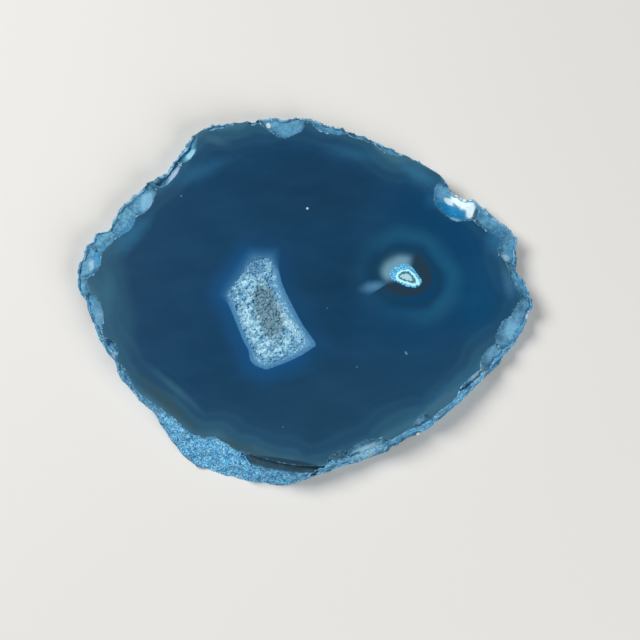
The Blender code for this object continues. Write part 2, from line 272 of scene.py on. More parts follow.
# The markings lie along lines in the stone: the quartz figure, the parts of the eye, and a clearer
# window at the left. Every point of the slab carries its distance into each of these outlines, in
# millimetres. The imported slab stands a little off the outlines' own place, by the shift below.
QUARTZ_OUTLINE = ((-12.8, 10.9), (-6.5, 10.7), (-6.0, 7.1), (-5.0, 2.6), (-3.7, -0.4), (-2.5, -2.9),
                  (0.1, -7.9), (1.8, -10.3), (3.5, -12.8), (1.8, -14.0), (-0.1, -15.3), (-2.9, -16.7),
                  (-5.3, -17.7), (-8.6, -18.9), (-11.2, -17.9), (-12.4, -16.7), (-12.9, -14.0),
                  (-14.2, -11.6), (-15.4, -8.6), (-17.6, -3.2), (-19.4, -0.2), (-18.0, 2.6),
                  (-16.3, 5.1), (-14.7, 7.9))
EYE_OUTLINE = ((21.1, 4.9), (21.6, 6.0), (22.6, 6.7), (23.8, 7.3), (26.0, 7.1), (27.5, 5.1),
               (28.7, 3.2), (28.5, 2.3), (27.8, 1.7), (26.9, 1.5), (24.8, 1.9), (22.7, 3.0),
               (21.3, 3.6))
EYE_IRIS = ((22.4, 4.0), (22.8, 5.2), (24.0, 6.0), (25.7, 6.0), (26.9, 5.0), (27.8, 3.6),
            (28.4, 2.8), (27.8, 2.1), (26.6, 1.9), (24.7, 2.5), (23.0, 3.1))
EYE_CRESCENT = ((24.7, 3.8), (21.6, 3.1), (19.9, 2.8), (18.8, 4.0), (18.3, 4.9), (18.2, 6.4),
                (19.2, 8.4), (21.0, 9.9), (23.2, 10.4), (25.3, 10.3), (26.8, 9.8), (26.2, 7.1))
EYE_SHADOW = ((26.2, 7.1), (27.4, 10.2), (28.1, 9.9), (29.9, 7.7), (31.1, 5.4), (31.2, 3.2),
              (30.1, 1.0), (27.6, -0.4), (24.8, -0.8), (22.0, -0.3), (20.1, 0.7), (19.1, 1.5),
              (21.3, 3.1), (24.7, 1.9), (26.8, 1.5), (28.5, 2.3), (27.5, 5.1))
EYE_FAN = ((22.3, 3.7), (14.3, -1.7), (6.6, 0.8), (9.1, 13.5), (21.2, 10.9))
LEFT_WINDOW = ((-50.9, 12.7), (-48.3, 14.5), (-44.8, 11.9), (-42.5, 7.9), (-41.5, 0.8), (-39.4, -6.1),
               (-39.6, -12.8), (-42.4, -14.5), (-46.3, -13.5), (-49.4, -6.1), (-52.1, 0.8), (-52.9, 7.9))
MARKINGS = {"quartz": QUARTZ_OUTLINE, "eye": EYE_OUTLINE, "iris": EYE_IRIS, "crescent": EYE_CRESCENT,
            "shadow": EYE_SHADOW, "fan": EYE_FAN, "window": LEFT_WINDOW}
OUTLINE_SHIFT = np.array((-0.256, -0.615))


def depth_inside(points, outline):
    """Each point's distance from an outline, positive inside it and negative outside."""
    corners = np.array(outline) + OUTLINE_SHIFT
    sides = list(zip(corners, np.roll(corners, -1, axis=0)))
    nearest = np.full(len(points), np.inf)
    for start, end in sides:
        side = end - start
        along = np.clip((points - start) @ side / (side @ side), 0.0, 1.0)
        gaps = np.linalg.norm(points - start - np.outer(along, side), axis=1)
        nearest = np.minimum(nearest, gaps)
    return np.where(is_inside(points, sides), nearest, -nearest)


def add_distance(mesh, name, values):
    """Stores one number for each point of a mesh."""
    mesh.attributes.new(name, "FLOAT", "POINT").data.foreach_set("value", values)


def distances_to(spots, points):
    """How far each point is from the nearest of some spots, in millimetres."""
    tree = tree_of(spots)
    return [tree.find(point)[2] / MM for point in points]


places = np.array([vert.co for vert in slab_mesh.vertices])
for name, outline in MARKINGS.items():
    add_distance(slab_mesh, name, depth_inside(places[:, :2] / MM, outline))

# The bands follow the back's rim, which the chips leave whole, but on the slope the face's own rim.
outer_border = [spot for spot in border if not is_at_pocket(spot)]
add_distance(slab_mesh, "edge", distances_to(outer_border, places))
foot = [spot.xy.to_3d() for spot in outer_border if (spot.z > FLAT) == is_on_slope(spot)]
add_distance(slab_mesh, "rim", distances_to(foot, places * (1.0, 1.0, 0.0)))
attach(slab, "root")
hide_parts("agate_slab")


# The colours of the stone. Agate is fine-grained quartz laid down in bands; this slice was dyed
# blue, which the dense bands took deeply and the coarse quartz hardly at all. The face is polished,
# the scars are broken glassy, and the rind is dull and grainy.
def feed(tree, sockets, inputs):
    """Feeds some sockets with links or constants."""
    for key, value in inputs.items():
        if isinstance(value, bpy.types.NodeSocket):
            tree.links.new(value, sockets[key])
        else:
            sockets[key].default_value = value


def put(tree, kind, inputs, **settings):
    """Adds a node, sets it up, feeds its inputs and gives its outputs."""
    made = tree.nodes.new(kind)
    for name, value in settings.items():
        setattr(made, name, value)
    feed(tree, made.inputs, inputs)
    return made.outputs


def calc(tree, operation, *values):
    """A sum on one, two or three numbers."""
    return put(tree, "ShaderNodeMath", dict(enumerate(values)), operation=operation)[0]


def mixed(tree, share, first, second):
    """A colour between two colours."""
    return put(tree, "ShaderNodeMix", {0: share, 6: first, 7: second}, data_type="RGBA")[2]


def ramp(tree, value, start, end, low=0.0, high=1.0):
    """A number that goes smoothly from low to high while a value goes from start to end."""
    inputs = {"Value": value, "From Min": start, "From Max": end, "To Min": low, "To Max": high}
    return put(tree, "ShaderNodeMapRange", inputs, interpolation_type="SMOOTHSTEP")[0]


def clouds(tree, place, size, detail=2.0, rough=0.5):
    """Cloudy noise between 0 and 1 whose lumps are about this many millimetres across."""
    inputs = {"Vector": place, "Scale": 1.0 / size, "Detail": detail, "Roughness": rough}
    return put(tree, "ShaderNodeTexNoise", inputs)[0]


def stirred(tree, value, noise, amount, middle=0.5):
    """A number that a noise moves up and down."""
    return calc(tree, "MULTIPLY_ADD", calc(tree, "SUBTRACT", noise, middle), amount, value)


def distance_of(tree, name):
    """One of the distances that the points of a piece carry."""
    return put(tree, "ShaderNodeAttribute", {}, attribute_name=name)["Fac"]


def rgb(code):
    """A colour for a shader from its screen code."""
    shares = [int(code[start:start + 2], 16) / 255.0 for start in (0, 2, 4)]
    linear = [share / 12.92 if share <= 0.04045 else ((share + 0.055) / 1.055) ** 2.4
              for share in shares]
    return (*linear, 1.0)


def tinted(tree, colour, mask, strength, code):
    """A colour with another laid over it, as far as a mask and a strength let it."""
    return mixed(tree, calc(tree, "MULTIPLY", mask, strength), colour, rgb(code))


def new_group(name, inputs, outputs):
    """An empty shader node group with named sockets."""
    group = bpy.data.node_groups.new(name, "ShaderNodeTree")
    for socket_name, kind, value in inputs:
        socket = group.interface.new_socket(socket_name, in_out="INPUT", socket_type=kind)
        if value is not None:
            socket.default_value = value
    for socket_name, kind in outputs:
        group.interface.new_socket(socket_name, in_out="OUTPUT", socket_type=kind)
    return group, group.nodes.new("NodeGroupInput").outputs, group.nodes.new("NodeGroupOutput")


def use_group(tree, group, inputs):
    """Adds a node group to a tree, feeds its inputs and gives its outputs."""
    return put(tree, "ShaderNodeGroup", inputs, node_tree=group)


patch, given, result = new_group(
    "soft patch",
    [("Place", "NodeSocketVector", None), ("Middle", "NodeSocketVector", None),
     ("Half Length", "NodeSocketFloat", 1.0), ("Half Width", "NodeSocketFloat", 1.0),
     ("Turn", "NodeSocketFloat", 0.0), ("Softness", "NodeSocketFloat", 0.5),
     ("Raggedness", "NodeSocketFloat", 0.3)],
    [("Mask", "NodeSocketFloat")])
local = put(patch, "ShaderNodeVectorMath", {0: given["Place"], 1: given["Middle"]},
            operation="SUBTRACT")[0]
turned = put(patch, "ShaderNodeVectorRotate", {"Vector": local, "Angle": given["Turn"]},
             rotation_type="Z_AXIS", invert=True)[0]
parts = put(patch, "ShaderNodeSeparateXYZ", {0: turned})
across = calc(patch, "DIVIDE", parts["X"], given["Half Length"])
along = calc(patch, "DIVIDE", parts["Y"], given["Half Width"])
squares = calc(patch, "MULTIPLY_ADD", across, across, calc(patch, "MULTIPLY", along, along))
away = calc(patch, "SQRT", squares)
away = stirred(patch, away, clouds(patch, given["Place"], 2.0, 4.0, 0.6), given["Raggedness"])
mask = ramp(patch, away, calc(patch, "SUBTRACT", 1.0, given["Softness"]), 1.0, 1.0, 0.0)
patch.links.new(mask, result.inputs["Mask"])


def painted(tree, place, colour, patches):
    """Lays soft patches of colour over a colour. A patch is its middle, half length and half width
    in millimetres, its turn in degrees, its softness, raggedness, strength and colour."""
    for x, y, half_length, half_width, turn, softness, raggedness, strength, code in patches:
        share = use_group(tree, patch, {
            "Place": place, "Middle": (x + OUTLINE_SHIFT[0], y + OUTLINE_SHIFT[1], 0.0),
            "Half Length": half_length, "Half Width": half_width, "Turn": math.radians(turn),
            "Softness": softness, "Raggedness": raggedness})["Mask"]
        colour = tinted(tree, colour, share, strength, code)
    return colour


def place_in_mm(tree):
    """Where a point lies on the object, in millimetres."""
    found = put(tree, "ShaderNodeTexCoord", {})["Object"]
    return put(tree, "ShaderNodeVectorMath", {0: found, "Scale": 1.0 / MM}, operation="SCALE")[0]


def flattened(tree, place):
    """The same place brought down to the face, so that a marking runs straight through the slab."""
    return put(tree, "ShaderNodeVectorMath", {0: place, 1: (1.0, 1.0, 0.0)}, operation="MULTIPLY")[0]


def new_material(name, mesh):
    """A material with its tree and its surface shader, put on a mesh."""
    material = bpy.data.materials.new(name)
    material.use_nodes = True
    mesh.materials.append(material)
    return material.node_tree, material.node_tree.nodes["Principled BSDF"]


# The dyed agate: navy in the middle, bluer at the right, greyer towards the rim, with the quartz
# figure and the eye laid over it. The sawn faces show it fully, and the scars more faintly. Places
# and widths are in millimetres, as in the outlines.
DEEP_DYE = (
    (2.0, 26.0, 26.0, 14.0, 0.0, 1.0, 0.2, 0.7, "0b324d"),
    (9.0, 2.0, 14.0, 16.0, 0.0, 1.0, 0.2, 0.8, "063350"),
    (16.0, -16.0, 10.0, 7.0, 0.0, 1.0, 0.2, 0.5, "123a58"),
    (42.0, -2.0, 8.0, 16.0, 0.0, 1.0, 0.2, 0.7, "004469"))
# A band of the rim: where it starts, where it is full, its strength and its colour.
RIM_BANDS = ((9.0, 4.0, 0.45, "24506c"), (5.0, 1.5, 0.7, "2b586f"), (2.2, 0.2, 0.55, "3f6b80"))
RIM_TINTS = (
    (-26.0, 31.0, 13.0, 3.4, 24.0, 1.0, 0.5, 0.7, "20587c"),
    (12.1, 36.0, 10.2, 2.8, -12.0, 1.0, 0.5, 0.7, "22597b"),
    (28.3, 30.5, 8.2, 3.0, -36.0, 0.9, 0.5, 0.6, "2f6c8e"),
    (31.6, 23.8, 2.9, 3.5, -30.0, 1.0, 0.4, 0.5, "155a80"),
    (36.0, -24.0, 24.0, 4.2, 38.0, 0.9, 0.4, 0.55, "2b6282"),
    (-46.0, 14.0, 9.0, 5.0, 62.0, 0.9, 0.5, 0.5, "2f5f78"),
    (47.4, 14.0, 4.1, 6.5, -10.0, 1.0, 0.5, 0.6, "2f7099"),
    (49.7, 2.3, 2.2, 5.5, 12.0, 1.0, 0.6, 0.6, "3c6f92"),
    (-41.5, 14.5, 3.4, 9.5, -36.0, 1.0, 0.6, 0.55, "28688c"),
    (-46.8, 0.8, 2.9, 10.0, 2.0, 1.0, 0.6, 0.5, "30627a"),
    (32.5, -27.1, 10.6, 1.8, 38.0, 0.7, 0.5, 0.6, "41687c"),
    (-21.8, 39.5, 5.3, 1.8, -14.0, 0.9, 0.5, 0.5, "3a6478"),
    (-31.6, -27.1, 15.0, 2.3, -42.0, 0.8, 0.4, 0.75, "2c4854"),
    (-30.0, -23.5, 12.0, 1.4, -42.0, 1.0, 0.4, 0.4, "3a6a7e"),
    (-15.0, -37.4, 13.5, 1.8, -17.0, 0.8, 0.4, 0.7, "2e4a57"),
    (-4.0, -40.5, 12.1, 1.8, -8.0, 0.8, 0.4, 0.5, "35586a"))
# A painted shadow along the step between the face and the ledge.
LEDGE_SHADOW = (
    (-3.7, -40.8, 10.6, 0.8, -9.0, 0.6, 0.2, 0.9, "17394c"),)

agate, given, result = new_group("dyed agate", [("Place", "NodeSocketVector", None)],
                                 [("Colour", "NodeSocketColor")])
place = given["Place"]
parts = put(agate, "ShaderNodeSeparateXYZ", {0: place})
right = ramp(agate, calc(agate, "MULTIPLY_ADD", parts["Y"], -0.15, parts["X"]), 8.0, 34.0)
colour = mixed(agate, right, rgb("0c3958"), rgb("003b61"))
low = ramp(agate, calc(agate, "MULTIPLY_ADD", parts["X"], -0.3, parts["Y"]), -10.0, -32.0)
colour = tinted(agate, colour, low, 0.8, "163e59")
colour = painted(agate, place, colour, DEEP_DYE)
stretched = put(agate, "ShaderNodeVectorMath", {0: place, 1: (0.5, 1.0, 1.0)}, operation="MULTIPLY")[0]
streaks = clouds(agate, stretched, 6.0, 3.0)
colour = mixed(agate, ramp(agate, streaks, 0.35, 0.75, 0.0, 0.25), colour, rgb("1d4a70"))

# The bands along the rim, and the tints and the stain that lie on them.
wavy = stirred(agate, distance_of(agate, "rim"), clouds(agate, place, 9.0), 3.5)
for start, end, strength, code in RIM_BANDS:
    colour = mixed(agate, ramp(agate, wavy, start, end, 0.0, strength), colour, rgb(code))
band = calc(agate, "SINE", calc(agate, "MULTIPLY", wavy, 2.3))
fade = ramp(agate, wavy, 12.0, 2.0, 0.0, 0.05)
colour = mixed(agate, calc(agate, "MULTIPLY", ramp(agate, band, -0.2, 1.0), fade), colour, rgb("4a86a4"))
colour = painted(agate, place, colour, RIM_TINTS)
window = ramp(agate, distance_of(agate, "window"), -1.0, 2.6)
colour = tinted(agate, colour, window, 0.35, "2c5c71")

# The very edge of the polish is crumbled here and there, and shows the tone of the rind.
grit = clouds(agate, place, 0.5, 3.0, 0.7)
crumbled = stirred(agate, distance_of(agate, "edge"), clouds(agate, place, 1.0, 4.0, 0.7), -1.6, 0.44)
rind_tone = mixed(agate, ramp(agate, grit, 0.4, 0.6), rgb("2f7cae"), rgb("a4d4e8"))
crumbling = ramp(agate, clouds(agate, place, 5.0), 0.46, 0.6, 0.15, 0.85)
crumbs = calc(agate, "MULTIPLY", ramp(agate, crumbled, 0.04, -0.08), crumbling)
colour = mixed(agate, crumbs, colour, rind_tone)
# A painted shadow darkens the face along the step down to the ledge.
colour = painted(agate, place, colour, LEDGE_SHADOW)

# Round the quartz the dye stands as a vivid halo, on all sides but the right.
quartz = distance_of(agate, "quartz")
halo_side = ramp(agate, calc(agate, "MULTIPLY_ADD", parts["Y"], 0.55, parts["X"]), -4.0, -12.0, 0.35, 1.0)
halo = calc(agate, "MULTIPLY", ramp(agate, quartz, -5.5, 0.0), halo_side)
colour = tinted(agate, colour, halo, 0.8, "0d4a7a")

# The quartz figure: a smooth lavender border, then grains. Its edge is sharp but for the upper left.
soft_side = ramp(agate, calc(agate, "MULTIPLY_ADD", parts["X"], -0.7, parts["Y"]), 8.0, 15.0)
grains = put(agate, "ShaderNodeTexVoronoi", {"Vector": place, "Scale": 1.8})
fine = clouds(agate, place, 0.55, 3.0, 0.65)
edge = calc(agate, "MULTIPLY_ADD", soft_side, 3.2, 0.12)
inside = stirred(agate, quartz, fine, calc(agate, "MULTIPLY", soft_side, 0.15))
figure = ramp(agate, inside, calc(agate, "MULTIPLY", edge, -0.5), calc(agate, "MULTIPLY", edge, 0.9))
veil = mixed(agate, ramp(agate, fine, 0.3, 0.7), rgb("336d99"), rgb("4c86af"))
veil = mixed(agate, ramp(agate, quartz, 0.2, 2.0, 0.0, 0.6), veil, rgb("78adcb"))
depth = stirred(agate, quartz, clouds(agate, place, 1.6, 3.0, 0.6), 3.0)
grain_tone = mixed(agate, ramp(agate, grains["Distance"], 0.2, 0.6), rgb("a4d3e6"), rgb("5791b7"))
veil = mixed(agate, calc(agate, "MULTIPLY", ramp(agate, depth, 1.0, 1.6), 0.9), veil, grain_tone)
veil = tinted(agate, veil, soft_side, 0.75, "2b6692")
colour = mixed(agate, calc(agate, "MULTIPLY", figure, 0.97), colour, veil)

# The eye: faint teal rings round it, a dark shadow behind, a pale fan, a lilac crescent, and a
# bright body with a thin dark ring in it. A ring is its start, its top, its end and its share.
EYE_FAN_PATCH = {"Middle": (16.9, 1.0, 0.0), "Half Length": 4.6, "Half Width": 2.2,
                 "Turn": math.radians(10.0), "Softness": 1.0}
IRIS_TONES = ((-0.15, 0.1, "b4f0fa"), (0.46, 0.6, "3f7480"), (0.92, 1.08, "a6cedc"))

eye = distance_of(agate, "eye")
swayed = stirred(agate, eye, clouds(agate, place, 7.0), 2.0)
ring_side = ramp(agate, calc(agate, "MULTIPLY_ADD", parts["Y"], 0.4, parts["X"]), 16.0, 32.0, 0.1, 0.36)
eye_rings = ((-11.5, -7.2, -4.4, ring_side, "236683"), (-5.6, -4.4, -3.4, 0.5, "12384a"))
for start, top, end, share, code in eye_rings:
    ring = calc(agate, "MULTIPLY", ramp(agate, swayed, start, top), ramp(agate, swayed, end, top))
    colour = tinted(agate, colour, ring, share, code)
shadow = ramp(agate, distance_of(agate, "shadow"), -0.7, 0.5)
colour = tinted(agate, colour, shadow, 0.85, "1f3543")
fan_glow = use_group(agate, patch, {"Place": place, **EYE_FAN_PATCH})["Mask"]
fan = calc(agate, "MULTIPLY", ramp(agate, distance_of(agate, "fan"), -0.1, 0.15), fan_glow)
colour = tinted(agate, colour, fan, 0.75, "4f86ac")
crescent_tone = mixed(agate, ramp(agate, swayed, -3.6, -0.5), rgb("2f5966"), rgb("719db2"))
crescent = ramp(agate, distance_of(agate, "crescent"), -0.9, 1.7, 0.0, 0.85)
colour = mixed(agate, crescent, colour, crescent_tone)
body = stirred(agate, eye, grit, 0.9)
eye_tone = mixed(agate, ramp(agate, grit, 0.38, 0.6), rgb("1f7fb4"), rgb("78ccf2"))
colour = mixed(agate, ramp(agate, body, -0.2, 0.15), colour, eye_tone)
iris = stirred(agate, distance_of(agate, "iris"), grit, 1.1)
for start, end, code in IRIS_TONES:
    colour = mixed(agate, ramp(agate, iris, start, end), colour, rgb(code))

# A few pale specks on the polish.
SPECKS = (
    (1.1, 21.6, 0.4, 0.4, 0.0, 0.6, 0.5, 0.85, "c4d8e6"),
    (-29.8, 24.8, 0.3, 0.3, 0.0, 0.6, 0.5, 0.35, "8fb0c4"),
    (24.7, -14.8, 0.6, 0.3, -60.0, 0.6, 0.8, 0.35, "a0b8cc"),
    (5.9, -3.7, 0.3, 0.3, 0.0, 0.8, 0.5, 0.25, "8fa9bd"),
    (13.0, -18.2, 0.3, 0.3, 0.0, 0.8, 0.5, 0.3, "8fa9bd"),
    (-4.5, -32.7, 0.3, 0.3, 0.0, 0.8, 0.5, 0.25, "8fa9bd"))
colour = painted(agate, place, colour, SPECKS)
agate.links.new(colour, result.inputs["Colour"])

# The sawn faces: the dyed agate under a polish.
tree, shader = new_material("polished_agate", slab_mesh)
stone = use_group(tree, agate, {"Place": flattened(tree, place_in_mm(tree))})
feed(tree, shader.inputs, {"Base Color": stone["Colour"], "Roughness": 0.16, "IOR": 1.54})

# The scars: pale blue where they are thin and frosted, deep blue where they are glassy, white
# where the nodule's cortex shows. The ledge is darker and smoother than the rest.
SCAR_PATCHES = (
    (-38.4, 23.8, 2.2, 3.3, 0.0, 0.5, 0.4, 0.75, "7fb6d6"),
    (-43.0, 15.5, 2.9, 7.5, -35.0, 0.6, 0.5, 0.85, "3581ab"),
    (-49.1, 9.4, 3.9, 3.0, 40.0, 0.7, 0.7, 0.8, "3f8fc0"),
    (-51.4, 7.9, 1.0, 2.3, 0.0, 0.6, 1.2, 0.5, "b8ddec"),
    (-49.6, -1.7, 2.2, 7.5, 8.0, 0.7, 0.7, 0.5, "5e9cbd"),
    (-31.2, 31.0, 1.9, 3.5, -38.0, 0.5, 0.4, 0.9, "a9bdd2"),
    (-27.9, 36.3, 1.5, 2.0, -30.0, 0.5, 0.5, 0.85, "9ad8e6"),
    (-35.1, 27.6, 0.7, 0.8, 0.0, 0.6, 0.8, 0.8, "d5e3ea"),
    (-22.6, 42.6, 5.3, 1.3, -14.0, 0.6, 0.7, 0.8, "74b7d8"),
    (-12.4, 43.7, 1.2, 1.0, 0.0, 0.7, 0.5, 0.9, "1d78b8"),
    (-3.2, 42.6, 5.3, 3.0, -8.0, 0.7, 0.6, 0.55, "5a9ec2"),
    (-8.7, 44.0, 0.7, 1.0, 0.0, 0.5, 0.6, 0.9, "e4f4f6"),
    (6.2, 42.4, 4.4, 2.0, -12.0, 0.7, 0.6, 0.6, "4d93ba"),
    (21.0, 36.3, 3.6, 1.5, -25.0, 0.7, 0.7, 0.55, "5f9dbb"),
    (35.8, 20.9, 6.0, 3.8, -30.0, 0.4, 0.2, 1.0, "0a84ba"),
    (37.8, 18.6, 2.9, 1.0, -25.0, 0.7, 0.4, 0.8, "86c6de"),
    (33.7, 26.4, 2.7, 1.9, -15.0, 0.5, 0.6, 0.9, "5b9dc4"),
    (39.2, 24.3, 4.0, 1.9, -36.0, 0.4, 0.9, 1.0, "e9f8f8"),
    (41.2, 22.0, 1.3, 2.7, -10.0, 0.4, 0.7, 1.0, "e2f4f5"),
    (36.0, 24.5, 1.9, 1.0, -36.0, 0.5, 1.0, 0.95, "d8eef2"),
    (42.3, 20.7, 0.7, 2.3, -15.0, 0.5, 0.4, 0.8, "1f4256"),
    (47.0, 15.5, 4.8, 3.8, -40.0, 0.8, 0.5, 0.6, "2f7099"),
    (50.8, 11.9, 1.5, 4.5, -12.0, 0.7, 0.7, 0.7, "4b90b8"),
    (49.2, 9.2, 1.5, 1.3, -30.0, 0.6, 0.6, 0.9, "93b9d0"),
    (49.5, 3.3, 1.9, 5.0, 10.0, 0.8, 0.5, 0.6, "3c6f92"),
    (54.5, -4.7, 1.0, 1.0, 0.0, 0.4, 0.7, 1.0, "f0f6f8"),
    (50.6, -7.6, 2.4, 4.5, -20.0, 0.6, 0.8, 0.85, "76b6d8"),
    (46.3, -14.0, 2.2, 5.0, -38.0, 0.6, 0.8, 0.8, "6aa6ca"),
    (41.7, -19.9, 2.9, 3.5, -45.0, 0.7, 0.8, 0.7, "a3c4d4"),
    (36.1, -25.7, 5.8, 1.5, 40.0, 0.6, 0.8, 0.6, "4f93ba"),
    (27.9, -31.9, 1.9, 2.0, 0.0, 0.6, 0.8, 0.7, "6c9cba"),
    (27.7, -33.6, 0.7, 0.8, 0.0, 0.5, 0.6, 1.0, "e8f2f5"),
    (15.0, -37.9, 4.8, 1.5, 22.0, 0.5, 0.5, 0.85, "9cc6d6"),
    (8.4, -39.3, 2.2, 1.0, 10.0, 0.5, 0.5, 0.8, "2b4d66"),
    (-48.4, -7.1, 2.2, 5.5, 12.0, 0.7, 0.7, 0.5, "6d9fb8"),
    (-45.0, -15.5, 1.7, 2.0, 0.0, 0.7, 0.9, 0.8, "a8cfe2"))
LEDGE_TONE = (
    (-4.0, -41.2, 12.6, 2.0, -8.0, 0.3, 0.2, 0.9, "163443"),)

tree, shader = new_material("agate_scar", slab_mesh)
place = place_in_mm(tree)
flat_place = flattened(tree, place)
stone = use_group(tree, agate, {"Place": flat_place})
frost = clouds(tree, place, 1.6, 5.0, 0.65)
colour = mixed(tree, ramp(tree, frost, 0.35, 0.7), rgb("1f6790"), rgb("6cb0d0"))
from_face = distance_of(tree, "edge")
colour = mixed(tree, ramp(tree, from_face, 0.2, 1.8, 0.75, 0.25), colour, stone["Colour"])
# Painted light: the scars are lightened towards their outer parts, away from the face.
colour = mixed(tree, ramp(tree, from_face, 1.6, 3.0, 0.0, 0.2), colour, rgb("7cc0dc"))
colour = painted(tree, flat_place, colour, SCAR_PATCHES)
streak = clouds(tree, place, 0.5, 4.0, 0.7)
colour = mixed(tree, ramp(tree, streak, 0.52, 0.75, 0.0, 0.45), colour, rgb("b4dcec"))
colour = mixed(tree, ramp(tree, streak, 0.48, 0.3, 0.0, 0.4), colour, rgb("144a70"))
colour = painted(tree, flat_place, colour, LEDGE_TONE)
ripples = clouds(tree, place, 0.35, 4.0, 0.7)
bumped = put(tree, "ShaderNodeBump", {"Height": ripples, "Strength": 0.5, "Distance": 0.0002})[0]
feed(tree, shader.inputs, {"Base Color": colour, "Roughness": 0.6, "Specular IOR Level": 0.25,
                           "Normal": bumped})

# The rind: the nodule's outer skin, dull blue with pale grains and darker pits, with a painted highlight
# that makes it paler on the far side. A painted shadow lies on the step up from the ledge.
tree, shader = new_material("agate_rind", slab_mesh)
place = place_in_mm(tree)
lumps = clouds(tree, place, 1.3, 5.0, 0.7)
specks = clouds(tree, place, 0.4, 3.0, 0.7)
colour = mixed(tree, ramp(tree, lumps, 0.38, 0.6), rgb("1b70ac"), rgb("52b0dc"))
colour = mixed(tree, ramp(tree, specks, 0.48, 0.64, 0.0, 0.75), colour, rgb("bce6f3"))
colour = mixed(tree, ramp(tree, specks, 0.46, 0.34, 0.0, 0.7), colour, rgb("175a92"))
# Painted highlight: the rind is lightened towards the far side of the slab.
far_side_painted_light = put(tree, "ShaderNodeSeparateXYZ", {0: place})["Y"]
colour = mixed(tree, ramp(tree, far_side_painted_light, -2.0, 18.0, 0.0, 0.5), colour, rgb("a2d2e6"))
colour = painted(tree, flattened(tree, place), colour, LEDGE_SHADOW)
bumped = put(tree, "ShaderNodeBump", {"Height": specks, "Strength": 0.6, "Distance": 0.0003})[0]
feed(tree, shader.inputs, {"Base Color": colour, "Roughness": 0.75, "Specular IOR Level": 0.25,
                           "Normal": bumped})

# The wall of the pocket is the quartz border cut across, its blue painted darker as shade where it shows
# between the crystals.
tree, shader = new_material("pocket_wall", slab_mesh)
place = place_in_mm(tree)
milk = clouds(tree, place, 0.8, 4.0, 0.6)
colour = mixed(tree, ramp(tree, milk, 0.3, 0.7), rgb("2f6088"), rgb("5f93b4"))
feed(tree, shader.inputs, {"Base Color": colour, "Roughness": 0.5})


# The quartz. A crust of crystals grew last, inwards from the walls of the hollow, each a six-sided
# column ended by a point. They are frosty white and pale blue, and stop just under the face.
CRYSTAL_SEED = 5
CRYSTAL_TRIES = 12000
# The crystals' widths and the room between them are in millimetres, as the outlines are.
CRYSTAL_SPACING = 0.4
CRYSTAL_RADIUS = (0.28, 0.62)
CRYSTAL_STRETCH = (0.8, 1.9)
CRYSTAL_TURN = (0.0, 1.0)
CRYSTAL_LEAN = 0.45
CRYSTAL_FOLLOW = 0.6
CRYSTAL_EDGE_ROOM = -0.35
CRYSTAL_SINK = 0.7
EDGE_CRYSTALS = 0.0022
CRUST_RIM_DEPTH = 0.0006
TIP_ROOM = 0.00003
COLUMN_TOP = 1.0
SHOULDER_HEIGHT = 0.8
SHOULDER_WIDTH = 0.3
POINT_HEIGHT = 0.25
FACING_UP = 0.9
POCKET_MOUTH = ((-12.7, 7.9), (-10.8, 8.9), (-7.9, 8.9), (-7.2, 6.4), (-7.4, 2.8), (-6.4, 0.3),
                (-4.0, -4.7), (-2.3, -6.9), (-0.1, -9.1), (0.4, -11.1), (-1.0, -13.5), (-3.6, -15.5),
                (-6.7, -17.0), (-10.1, -16.5), (-11.7, -14.3), (-14.4, -8.9), (-16.2, -3.4),
                (-17.2, -0.9), (-17.2, 1.3), (-15.8, 3.6))

# One crystal, a unit wide: a six-sided column, drawn in to a shoulder and closed by a point.
bpy.ops.object.select_all(action="DESELECT")
bpy.ops.mesh.primitive_cylinder_add(vertices=6, radius=1.0, depth=2.0 * COLUMN_TOP, end_fill_type="NGON")
crystal = bpy.context.active_object
bpy.ops.object.mode_set(mode="EDIT")
bpy.ops.mesh.select_mode(type="FACE")
select_faces(crystal.data, lambda face: face.normal.z > FACING_UP)
bpy.ops.mesh.extrude_region_move(TRANSFORM_OT_translate={"value": (0.0, 0.0, SHOULDER_HEIGHT)})
bpy.ops.transform.resize(value=(SHOULDER_WIDTH, SHOULDER_WIDTH, 1.0),
                         center_override=(0.0, 0.0, COLUMN_TOP + SHOULDER_HEIGHT))
bpy.ops.mesh.extrude_region_move(TRANSFORM_OT_translate={"value": (0.0, 0.0, POINT_HEIGHT)})
bpy.ops.mesh.merge(type="CENTER")
bpy.ops.object.mode_set(mode="OBJECT")

# The crust that the crystals stand on.
druse_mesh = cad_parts["quartz_druse"].data.copy()
druse_mesh.materials.clear()
druse = bpy.data.objects.new("quartz_crystals", druse_mesh)
bpy.context.scene.collection.objects.link(druse)
crust = bmesh.new()
crust.from_mesh(druse_mesh)
bmesh.ops.remove_doubles(crust, verts=crust.verts[:], dist=SEAM)
crust_surface = bvhtree.BVHTree.FromBMesh(crust)
crust.to_mesh(druse_mesh)
crust.free()

# Places for the crystals, scattered over the pocket's mouth and never crowded.
chance = np.random.default_rng(CRYSTAL_SEED)
mouth = np.array(POCKET_MOUTH) + OUTLINE_SHIFT
throws = chance.uniform(mouth.min(axis=0), mouth.max(axis=0), (CRYSTAL_TRIES, 2))
throws = throws[depth_inside(throws, POCKET_MOUTH) > CRYSTAL_EDGE_ROOM]
roots = []
for throw in throws:
    if all(math.dist(throw, root) > CRYSTAL_SPACING for root in roots):
        roots.append(throw)

